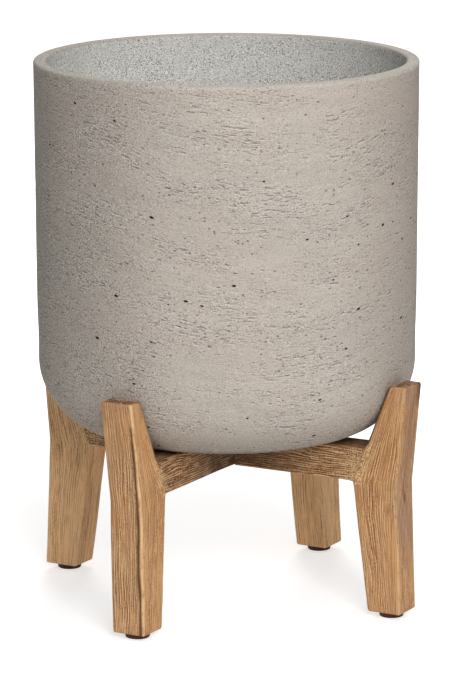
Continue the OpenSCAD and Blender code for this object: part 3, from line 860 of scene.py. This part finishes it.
def plasticMaterial():
    # two mottled browns under paler, rougher scuffs
    made, tree = newMaterial("darkGlidePlastic")
    mottle, scuffs = [noise(ownPlace(tree), *glide[name]) for name in ("mottle", "scuffs")]
    colour = blend(mottle.ramp(*glide["mottleRamp"]), *glide["tones"])
    colour = blend(scuffs.ramp(*glide["scuffRamp"]), colour, glide["scuffTone"])
    roughness = scuffs.ramp(*glide["roughRamp"])
    finishMaterial(tree, colour, roughness, (scuffs - 0.5) * glide["scuffHigh"], glide["relief"])
    return made


# nails, screw and plug keep their solids and take one of these finishes
steel = dict(
    spots=((700, 700, 700), 3.0, 0.6), toneRamp=(0.3, 0.7), roughRamp=(0.2, 0.8, 0.28, 0.46),
    tones=(shade(168, 168, 164), shade(196, 196, 190)), high=0.06 * mm, relief=0.5, metallic=1.0,
)
rubber = dict(
    spots=((160, 160, 160), 4.0, 0.6), toneRamp=(0.4, 0.75), roughRamp=(0.3, 0.7, 0.6, 0.8),
    tones=(shade(38, 37, 36), shade(62, 60, 58)), high=0.1 * mm, relief=0.5, metallic=0.0,
)


def spottedMaterial(name, finish):
    # one pattern of spots goes from tone to tone, from smooth to rough and from low to high
    made, tree = newMaterial(name)
    spots = noise(ownPlace(tree), *finish["spots"])
    colour = blend(spots.ramp(*finish["toneRamp"]), *finish["tones"])
    roughness, height = spots.ramp(*finish["roughRamp"]), (spots - 0.5) * finish["high"]
    finishMaterial(tree, colour, roughness, height, finish["relief"], Metallic=finish["metallic"])
    return made


def dressNode(name, material):
    # the node keeps its mesh and place, and gets one material
    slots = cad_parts[name].data.materials
    slots.clear()
    slots.append(material)


buildPot(cementMaterial())
print("pot built")

brushedWood = woodMaterial("brushedHardwood", hardwood, brushed=True)
for k in range(4):
    buildLeg(k, brushedWood)
for k in range(2):
    buildBar(k, brushedWood)
print("stand built")

dowelWood = woodMaterial("turnedDowelWood", beech, brushed=False)
glidePlastic = plasticMaterial()
zincSteel = spottedMaterial("zincPlatedSteel", steel)
for k in range(4):
    buildGlide(k, glidePlastic)
    dressNode("glide_nail_" + places[k], zincSteel)
    for level in ("lower", "upper"):
        dressNode("dowel_" + places[k] + "_" + level, dowelWood)
dressNode("lap_screw", zincSteel)
dressNode("drain_plug", spottedMaterial("mattRubber", rubber))
print("fittings dressed")

studio = dict(
    worldLight=0.14, aim=(0.0, 0.0, 0.28),
    floorSize=14.0, floorTone=0.78, floorLift=0.6, whiteFrom=0.35, whiteTo=1.1,
    glow=0.15, glowFrom=0.5, glowTo=1.0,
    # lamps: place and size in metres, power in watts
    keyPlace=(-0.15, -3.2, 1.9), keySize=1.6, keyPower=75.5,
    overPlace=(0.3, -0.8, 2.8), overSize=2.0, overPower=13.0,
    backPlace=(0.8, 3.0, 2.0), backSize=1.6, backPower=52.0,
)
white = (1.0, 1.0, 1.0, 1.0)


def whiteRays(tree):
    # two switches: 1 for what the camera sees straight, and 1 for that and what it sees in a mirror or glass
    path = addNode(tree, "LightPath").socket.node.outputs
    camera = Wire(tree, path["Is Camera Ray"])
    seen = camera
    for other in ("Is Glossy Ray", "Is Transmission Ray"):
        seen = seen.maths("MAXIMUM", seen, Wire(tree, path[other]))
    return camera, seen


def whiteWorld():
    # light of one level all round, seen as plain white
    world = bpy.data.worlds.new("studio")
    bpy.context.scene.world = world
    world.use_nodes = True
    tree = world.node_tree
    tree.nodes.clear()
    seen = whiteRays(tree)[1]
    lit = addNode(tree, "Background", {}, {"Color": white, "Strength": studio["worldLight"]})
    plain = addNode(tree, "Background", {}, {"Color": white, "Strength": 1.0})
    both = addNode(tree, "MixShader", {}, {0: seen, 1: lit, 2: plain})
    addNode(tree, "OutputWorld", {}, {"Surface": both})


def paleFloor():
    # a level sheet that keeps the object's shadow: a lit sheet lifted towards white, and plain white
    # further out; for the light that falls on things it glows a little round the object
    half = studio["floorSize"] / 2
    mesh = bpy.data.meshes.new("floor")
    corners = [(-half, -half, 0), (half, -half, 0), (half, half, 0), (-half, half, 0)]
    mesh.from_pydata(corners, [], [(0, 1, 2, 3)])
    floor = bpy.data.objects.new("floor", mesh)
    bpy.context.scene.collection.objects.link(floor)
    made, tree = newMaterial("paleFloor")
    camera, seen = whiteRays(tree)
    away = addNode(tree, "VectorMath", dict(operation="LENGTH"), {0: ownPlace(tree)}, out="Value")
    far = away.ramp(studio["whiteFrom"], studio["whiteTo"])
    glow = away.ramp(studio["glowTo"], studio["glowFrom"], 0.0, studio["glow"])
    share = seen * far + camera * (1 - far) * studio["floorLift"] + (1 - seen) * glow
    lit = addNode(tree, "BsdfDiffuse", {}, {"Color": (*[studio["floorTone"]] * 3, 1.0)})
    plain = addNode(tree, "Emission", {}, {"Color": white, "Strength": 1.0})
    lift = addNode(tree, "MixShader", {}, {0: share, 2: plain})
    both = addNode(tree, "AddShader", {}, {0: lit, 1: lift})
    addNode(tree, "OutputMaterial", {}, {"Surface": both})
    mesh.materials.append(made)


def softLamp(name, place, size, power):
    # a round area lamp whose -Z looks at the aim: tipped by the angle from upright, then turned to face it
    lamp = bpy.data.lights.new(name, "AREA")
    lamp.shape, lamp.size, lamp.energy = "DISK", size, power
    made = bpy.data.objects.new(name, lamp)
    made.location = place
    away = np.array(place) - np.array(studio["aim"])
    pitch = math.atan2(math.hypot(away[0], away[1]), away[2])
    made.rotation_euler = (pitch, 0.0, math.atan2(away[1], away[0]) + math.pi / 2)
    bpy.context.scene.collection.objects.link(made)


# the photograph's camera: distance, height and farthest in metres, angles in degrees, focal length, shift
# and image height in pixels, and sensor in millimetres
view = dict(azimuth=-15.24, distance=3.892, height=1.093, pitch=12.05, roll=-0.15, focal=3987.0,
            imageHeight=673, shift=0.5, sensor=36.0, farthest=60.0)


def photoCamera():
    # the camera looks level along its azimuth, is then pitched down, and last rolled about its own axis
    a, p, r = (math.radians(view[key]) for key in ("azimuth", "pitch", "roll"))
    forward = np.array([-math.sin(a) * math.cos(p), math.cos(a) * math.cos(p), -math.sin(p)])
    right = np.array([math.cos(a), math.sin(a), 0.0])
    up = np.cross(right, forward)
    right, up = right * math.cos(r) + up * math.sin(r), up * math.cos(r) - right * math.sin(r)
    place = (math.sin(a) * view["distance"], -math.cos(a) * view["distance"], view["height"])
    rows = [[right[i], up[i], -forward[i], place[i]] for i in range(3)] + [[0, 0, 0, 1]]
    camera = bpy.data.objects.new("camera", bpy.data.cameras.new("camera"))
    bpy.context.scene.collection.objects.link(camera)
    camera.matrix_world = Matrix(rows)
    camera.data.sensor_width = view["sensor"]
    camera.data.lens = view["focal"] / view["imageHeight"] * view["sensor"]
    camera.data.shift_x = -view["shift"] / view["imageHeight"]
    camera.data.clip_end = view["farthest"]
    bpy.context.scene.camera = camera


whiteWorld()
paleFloor()
for lamp in ("key", "over", "back"):
    softLamp(lamp, studio[lamp + "Place"], studio[lamp + "Size"], studio[lamp + "Power"])
photoCamera()
bpy.context.scene.view_settings.view_transform = "Standard"
print("studio ready")
